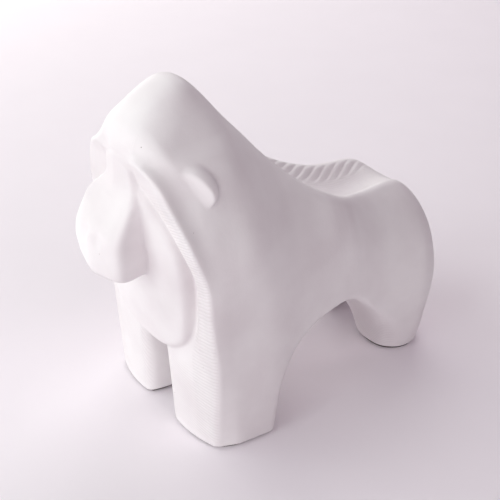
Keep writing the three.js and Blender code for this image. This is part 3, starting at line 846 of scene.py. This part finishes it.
class Dressing:
    """A new material with its node tree and the Object coordinates that its patterns read."""

    def __init__(self, name: str) -> None:
        """Make the material.

        Args:
            name: The real material's name.
        """
        self.material = bpy.data.materials.new(name)
        self.material.use_nodes = True
        self.tree = self.material.node_tree
        self.at = add_node(self.tree, "TexCoord").outputs["Object"]

    def finish(
        self, base: bpy.types.Node, rough: bpy.types.Node, bump: bpy.types.Node
    ) -> bpy.types.Material:
        """Link the colour, the roughness and the bump to the shader.

        Args:
            base: The Mix of colours that gives the base colour.
            rough: The Map Range that gives the roughness.
            bump: The last Bump.

        Returns:
            The finished material.
        """
        shader = self.tree.nodes["Principled BSDF"]
        self.tree.links.new(base.outputs[MIXED], shader.inputs["Base Color"])
        self.tree.links.new(rough.outputs[0], shader.inputs["Roughness"])
        self.tree.links.new(bump.outputs[0], shader.inputs["Normal"])
        return self.material


@dataclass(frozen=True)
class MattCeramic:
    """Slip-cast white stoneware under a dry matt glaze.

    The glaze spreads light softly with no clear highlight. Its tone drifts a little over
    the body, it ripples and is grainy close up, and a few tiny specks of iron show in it.
    The bottoms of the flutes carry painted shade: their colour is painted darker there.
    """

    light: str = "f4f0f1"
    dull: str = "ebe5e7"
    # painted shade for the bottoms of the flutes
    flute_shade: str = "d8d0d2"
    iron: str = "8d8073"
    rough: tuple[float, float] = (0.56, 0.7)
    cloud: Cells = Cells(38.0, 3.0)  # a drift of tone in the glaze
    skin: Cells = Cells(2.6)  # a ripple of the glaze
    grain: Cells = Cells(0.45)  # a grain of the glaze
    ripple_height: float = 0.06
    grain_height: float = 0.025
    flute_height: float = 0.15  # from a flute's bottom to its top
    flute_shade_share: float = 0.35  # share of the painted flute shade at a flute's bottom
    speck_cell: float = 9.0  # from one place where a speck may sit to the next
    speck: float = 0.32  # a speck's half width
    speckless: float = 0.8  # share of those places that have no speck

    def material(self) -> bpy.types.Material:
        """Return the material."""
        new = Dressing("matt_white_glazed_stoneware")
        tree, at = new.tree, new.at
        cloud, ripple, grain = (
            add_node(tree, "TexNoise", {"Vector": at, **cells.feeds}).outputs[0]
            for cells in (self.cloud, self.skin, self.grain)
        )
        tone = add_node(tree, "MapRange", {VALUE: cloud, FROM_LOW: 0.35, FROM_HIGH: 0.65})
        base = add_node(
            tree, "Mix",
            {SHARE: tone.outputs[0], FIRST: linear(self.light), SECOND: linear(self.dull)},
            data_type="RGBA",
        )
        flute = self._flutes(tree)
        # Painted shade: the colour darkens towards each flute's bottom, as far as the flute is
        # deep.
        sunk = add_node(
            tree, "MapRange",
            {VALUE: flute, FROM_LOW: 0.0, FROM_HIGH: -1.0, TO_LOW: 0.0, TO_HIGH: self.flute_shade_share},
        )
        base = add_node(
            tree, "Mix",
            {SHARE: sunk.outputs[0], FIRST: base.outputs[MIXED], SECOND: linear(self.flute_shade)},
            data_type="RGBA",
        )
        base = add_node(
            tree, "Mix",
            {SHARE: self._specks(tree, at), FIRST: base.outputs[MIXED], SECOND: linear(self.iron)},
            data_type="RGBA",
        )
        low, high = self.rough
        rough = add_node(tree, "MapRange", {VALUE: ripple, TO_LOW: low, TO_HIGH: high})
        # A flute's wave goes from -1 to 1, so half its height is one unit.
        bump = add_node(tree, "Bump", {"Height": flute, "Distance": 0.5 * self.flute_height * MM})
        for height, deep in ((ripple, self.ripple_height), (grain, self.grain_height)):
            bump = add_node(
                tree, "Bump",
                {"Height": height, "Distance": deep * MM, "Normal": bump.outputs[0]},
            )
        return new.finish(base, rough, bump)

    @staticmethod
    def _flutes(tree: bpy.types.NodeTree) -> bpy.types.NodeSocket:
        """Return the wave of the flutes, from -1 to 1, from a piece's two attributes."""
        count = add_node(tree, "Attribute", attribute_name=COUNT).outputs["Fac"]
        deep = add_node(tree, "Attribute", attribute_name=DEEP).outputs["Fac"]
        turn = add_node(tree, "Math", {0: count, 1: 2 * math.pi}, operation="MULTIPLY")
        wave = add_node(tree, "Math", {0: turn.outputs[0]}, operation="SINE")
        flute = add_node(tree, "Math", {0: wave.outputs[0], 1: deep}, operation="MULTIPLY")
        return flute.outputs[0]

    def _specks(
        self, tree: bpy.types.NodeTree, at: bpy.types.NodeSocket
    ) -> bpy.types.NodeSocket:
        """Return 1 in the specks and 0 outside them."""
        scale = 1.0 / (self.speck_cell * MM)
        cell = add_node(tree, "TexVoronoi", {"Vector": at, "Scale": scale})
        edge = self.speck / self.speck_cell
        near = add_node(
            tree, "MapRange",
            {VALUE: cell.outputs["Distance"], FROM_LOW: edge, FROM_HIGH: 0.6 * edge},
        )
        chance = add_node(tree, "SeparateColor", {0: cell.outputs["Color"]})
        rare = add_node(
            tree, "Math", {0: chance.outputs[0], 1: self.speckless}, operation="GREATER_THAN"
        )
        speck = add_node(
            tree, "Math", {0: near.outputs[0], 1: rare.outputs[0]}, operation="MULTIPLY"
        )
        return speck.outputs[0]


@dataclass(frozen=True)
class Felt:
    """Dark pressed wool felt: dull and soft, with mottled tufts and fine fibres. Its dark tone also
    stands in as painted contact shade along the thin line under the feet.
    """

    # dark felt, whose tone also serves as painted contact shade under the feet
    dark: str = "3d3836"
    pale: str = "5a5350"
    rough: tuple[float, float] = (0.88, 1.0)
    tuft: Cells = Cells(1.6, 4.0)
    fibre: Cells = Cells(0.25, 3.0)
    fibre_height: float = 0.12

    def material(self) -> bpy.types.Material:
        """Return the material."""
        new = Dressing("dark_felt_and_painted_contact_shade")
        tree = new.tree
        tuft, fibre = (
            add_node(tree, "TexNoise", {"Vector": new.at, **cells.feeds}).outputs[0]
            for cells in (self.tuft, self.fibre)
        )
        tone = add_node(tree, "MapRange", {VALUE: tuft, FROM_LOW: 0.3, FROM_HIGH: 0.7})
        base = add_node(
            tree, "Mix",
            {SHARE: tone.outputs[0], FIRST: linear(self.dark), SECOND: linear(self.pale)},
            data_type="RGBA",
        )
        low, high = self.rough
        rough = add_node(tree, "MapRange", {VALUE: fibre, TO_LOW: low, TO_HIGH: high})
        bump = add_node(tree, "Bump", {"Height": fibre, "Distance": self.fibre_height * MM})
        return new.finish(base, rough, bump)


@dataclass(frozen=True)
class Paper:
    """Pale lavender-grey backdrop paper: even and dull, with a faint drift of tone."""

    light: str = "f2ecf1"
    dull: str = "efe9ee"
    rough: tuple[float, float] = (0.85, 0.95)
    cloud: Cells = Cells(60.0)
    tooth: Cells = Cells(0.8)
    tooth_height: float = 0.02

    def material(self) -> bpy.types.Material:
        """Return the material."""
        new = Dressing("lavender_grey_paper")
        tree = new.tree
        cloud, tooth = (
            add_node(tree, "TexNoise", {"Vector": new.at, **cells.feeds}).outputs[0]
            for cells in (self.cloud, self.tooth)
        )
        base = add_node(
            tree, "Mix",
            {SHARE: cloud, FIRST: linear(self.light), SECOND: linear(self.dull)},
            data_type="RGBA",
        )
        low, high = self.rough
        rough = add_node(tree, "MapRange", {VALUE: tooth, TO_LOW: low, TO_HIGH: high})
        bump = add_node(tree, "Bump", {"Height": tooth, "Distance": self.tooth_height * MM})
        return new.finish(base, rough, bump)


@dataclass(frozen=True)
class Lamp:
    """A round soft light that hangs on a dome round the figurine and faces its middle."""

    name: str
    azimuth: float  # degrees round from the frame's x axis
    elevation: float  # degrees above the floor
    power: float  # watts
    colour: tuple[float, float, float]
    size: float = 1.1  # metres across
    distance: float = 1.6  # metres from the point that it faces
    aim: float = 0.08  # metres from the floor up to that point

    def hang(self) -> None:
        """Make the lamp."""
        light = bpy.data.lights.new(self.name, "AREA")
        light.shape = "DISK"
        light.size = self.size
        light.energy = self.power
        light.color = self.colour
        lamp = bpy.data.objects.new(self.name, light)
        azimuth, elevation = math.radians(self.azimuth), math.radians(self.elevation)
        level = math.cos(elevation)
        across, along = math.cos(azimuth) * level, math.sin(azimuth) * level
        towards = Vector((across, along, math.sin(elevation)))
        lamp.location = towards * self.distance + Vector((0, 0, self.aim))
        lamp.rotation_euler = towards.to_track_quat("Z", "Y").to_euler()
        bpy.context.scene.collection.objects.link(lamp)


LAMPS = (
    Lamp("left_low", 180, 12, 12.0, (1.0, 0.985, 0.94)),
    Lamp("front_low", 270, 12, 9.2, (0.96, 1.0, 0.98)),
    Lamp("camera_low", 315, 12, 2.3, (1.0, 0.91, 0.93)),
    Lamp("right_high", 0, 40, 5.4, (1.0, 0.93, 0.97)),
    Lamp("rear_high", 90, 40, 1.9, (1.0, 0.68, 0.92)),
    Lamp("back_left", 135, 40, 9.2, (1.0, 0.98, 0.99)),
    Lamp("key_front_left", 225, 40, 7.9, (0.97, 1.0, 0.99)),
    Lamp("front_high", 270, 40, 4.5, (0.96, 1.0, 1.0)),
    Lamp("camera_high", 315, 40, 2.6, (1.0, 0.92, 0.97)),
)


@dataclass
class Studio:
    """The pale floor, the lights and the camera."""

    eye: tuple[float, float, float] = (0.3519, -0.2771, 0.3535)  # metres
    azimuth: float = 52.8  # degrees that the camera is turned to the figurine's left
    elevation: float = 31.5  # degrees that it looks down
    lens: float = 64.8  # millimetres, as the sensor
    sensor: float = 36.0
    floor_half: float = 4.0  # metres from the floor's middle to its edge

    def build(self) -> None:
        """Make the camera, the floor and the lights."""
        scene = bpy.context.scene
        scene.view_settings.view_transform = "Standard"
        camera = bpy.data.cameras.new("camera")
        camera.lens = self.lens
        camera.sensor_width = self.sensor
        stand = bpy.data.objects.new("camera", camera)
        stand.location = self.eye
        stand.rotation_euler = (math.radians(90 - self.elevation), 0, math.radians(self.azimuth))
        scene.collection.objects.link(stand)
        scene.camera = stand
        work = bmesh.new()
        bmesh.ops.create_grid(work, x_segments=1, y_segments=1, size=self.floor_half)
        floor = new_object("floor", work)
        floor.data.materials.append(Paper().material())
        world = bpy.data.worlds.new("studio")
        world.use_nodes = True
        world.node_tree.nodes["Background"].inputs["Strength"].default_value = 0.0
        scene.world = world
        for lamp in LAMPS:
            lamp.hang()


def main() -> None:
    """Build the figurine and its studio."""
    logging.basicConfig(level=logging.INFO, format="%(name)s: %(message)s")
    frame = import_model()
    Studio().build()
    casting = Casting(Sculpt())
    ceramic = MattCeramic().material()
    for form, piece in casting.pieces().items():
        piece.data.materials.append(ceramic)
        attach(piece, BODY)
        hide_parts(form.value)
        log.info("%s: %d triangles", piece.name, len(piece.data.polygons))
    felt = Felt().material()
    for name, node in frame["nodes"].items():
        if name.startswith("foot_pad"):
            node.data.materials.clear()
            node.data.materials.append(felt)


if __name__ == "__main__":
    main()
